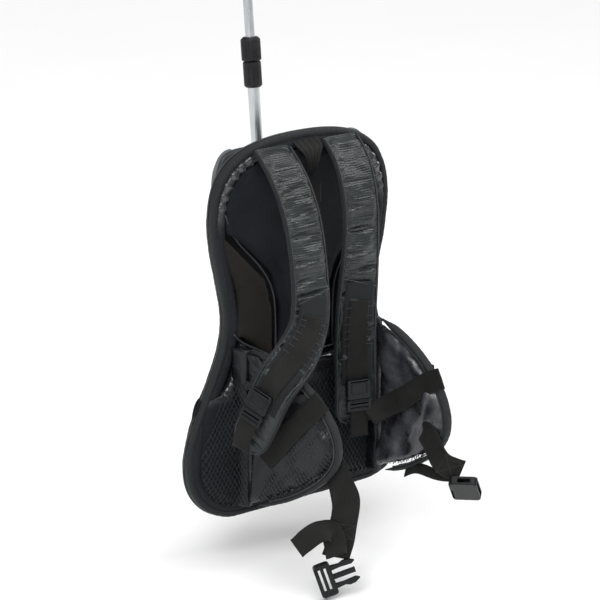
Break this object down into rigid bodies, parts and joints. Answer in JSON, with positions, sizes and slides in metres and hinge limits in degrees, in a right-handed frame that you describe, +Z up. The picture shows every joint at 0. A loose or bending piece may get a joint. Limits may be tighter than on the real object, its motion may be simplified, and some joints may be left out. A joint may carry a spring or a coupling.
{
  "type": "backpack selfie stick",
  "caption": "Padded backpack harness with shoulder straps and hip wings carrying a telescoping twist-lock pole with a tilting, sprung phone clamp.",
  "frame": {"origin": "middle of the harness panel, at the back of the front pads, where the panel lies against the wearer's back", "axes": "+Z up, -Y towards the wearer, +X to the right when looking along +Y"},
  "size_m": [0.388, 0.3659, 0.9967],
  "materials": {
    "pad_fabric": "matt woven nylon over foam",
    "mesh_fabric": "open air mesh",
    "foam": "closed-cell foam",
    "stiff_sheet": "smooth sheet",
    "cover_fabric": "coated nylon",
    "binding_tape": "ribbed binding tape",
    "strap_fabric": "ribbed nylon with a soft sheen",
    "wing_nylon": "glossy coated nylon",
    "webbing": "woven polyester webbing",
    "buckle_plastic": "moulded acetal",
    "holder_plastic": "fine textured moulding",
    "tube_aluminium": "satin anodised",
    "screw_steel": "bright zinc",
    "insert_brass": "turned",
    "pad_rubber": "matt rubber"
  },
  "bodies": {
    "harness": {"upper_back_pad": "pad_fabric", "lower_back_pads": "pad_fabric", "lumbar_pad": "mesh_fabric", "panel_core": "foam", "frame_sheet": "stiff_sheet", "rear_cover": "cover_fabric", "front_binding": "binding_tape", "rear_binding": "binding_tape", "shoulder_strap_left": "strap_fabric", "shoulder_strap_right": "strap_fabric", "strap_webbing_left": "webbing", "strap_webbing_right": "webbing", "strap_buckle_sockets": "buckle_plastic", "strap_buckle_plugs": "buckle_plastic", "adjuster_tail_left": "webbing", "adjuster_tail_right": "webbing", "yoke_patch": "strap_fabric", "grab_handle": "webbing", "pole_cup": "holder_plastic", "pole_guide": "holder_plastic", "bracket_base": "holder_plastic", "bracket_cap": "holder_plastic", "bracket_screw": "screw_steel", "frame_screws": "screw_steel", "tee_nuts": "screw_steel", "lower_tube": "tube_aluminium", "bottom_plug": "holder_plastic", "lock_body": "holder_plastic", "lock_collet": "holder_plastic"},
    "wing_left": {"hip_wing_left": "wing_nylon", "wing_binding_left": "binding_tape", "wing_mesh_left": "mesh_fabric", "adjuster_webbing_left": "webbing", "belt_webbing_left": "webbing", "belt_buckle_plug": "buckle_plastic"},
    "wing_right": {"hip_wing_right": "wing_nylon", "wing_binding_right": "binding_tape", "wing_mesh_right": "mesh_fabric", "adjuster_webbing_right": "webbing", "belt_webbing_right": "webbing", "belt_buckle_socket": "buckle_plastic"},
    "bracket_knob": {"bracket_knob": "holder_plastic"},
    "lock_nut": {"lock_nut": "holder_plastic"},
    "upper_pole": {"upper_tube": "tube_aluminium", "guide_bush": "holder_plastic", "head_socket": "holder_plastic"},
    "yoke": {"tilt_yoke": "holder_plastic", "tilt_bolt": "screw_steel"},
    "tilt_knob": {"tilt_knob": "holder_plastic"},
    "tilt_head": {"tilt_block": "holder_plastic", "screw_stud": "screw_steel", "platform_pad": "pad_rubber"},
    "thumb_wheel": {"thumb_wheel": "tube_aluminium"},
    "phone_clamp": {"clamp_body": "holder_plastic", "threaded_insert": "insert_brass", "lower_jaw_pad": "pad_rubber", "jaw_springs": "screw_steel"},
    "upper_jaw": {"upper_jaw": "holder_plastic", "guide_rods": "screw_steel", "upper_jaw_pad": "pad_rubber"}
  },
  "joints": [
    {"name": "wing_left_fold", "type": "hinge", "parent": "harness", "child": "wing_left", "pos_m": [-0.114, -0.024, 0], "axis": [0, 0, 1], "range_deg": [0, 20]},
    {"name": "wing_right_fold", "type": "hinge", "parent": "harness", "child": "wing_right", "pos_m": [0.114, -0.024, 0], "axis": [0, 0, 1], "range_deg": [0, 20]},
    {"name": "bracket_knob_turn", "type": "hinge", "parent": "harness", "child": "bracket_knob", "pos_m": [0.018, 0.08994, 0.17788], "axis": [0, 0.9949, -0.1011], "range_deg": [0, 720]},
    {"name": "lock_twist", "type": "hinge", "parent": "harness", "child": "lock_nut", "pos_m": [0, 0.10459, 0.32213], "axis": [0, 0.1011, 0.9949], "range_deg": [0, 120]},
    {"name": "pole_slide", "type": "slide", "parent": "harness", "child": "upper_pole", "axis": [0, 0.1011, 0.9949], "range_m": [-0.12, 0.25]},
    {"name": "head_pan", "type": "hinge", "parent": "upper_pole", "child": "yoke", "pos_m": [0, 0.12536, 0.52658], "axis": [0, 0.1011, 0.9949], "continuous": true},
    {"name": "head_tilt", "type": "hinge", "parent": "yoke", "child": "tilt_head", "pos_m": [0, 0.12741, 0.54678], "axis": [1, 0, 0], "range_deg": [-75, 75]},
    {"name": "tilt_knob_turn", "type": "hinge", "parent": "yoke", "child": "tilt_knob", "pos_m": [0, 0.12741, 0.54678], "axis": [1, 0, 0], "range_deg": [0, 540]},
    {"name": "thumb_wheel_turn", "type": "hinge", "parent": "tilt_head", "child": "thumb_wheel", "pos_m": [0, 0.12741, 0.56378], "axis": [0, 0, 1], "continuous": true},
    {"name": "clamp_swivel", "type": "hinge", "parent": "tilt_head", "child": "phone_clamp", "pos_m": [0, 0.12741, 0.56378], "axis": [0, 0, 1], "continuous": true},
    {"name": "jaw_slide", "type": "slide", "parent": "phone_clamp", "child": "upper_jaw", "axis": [0, 0, 1], "range_m": [0, 0.026], "stiffness_N_per_m": 250, "springref_m": -0.02, "deforming": ["jaw_springs"]}
  ]
}
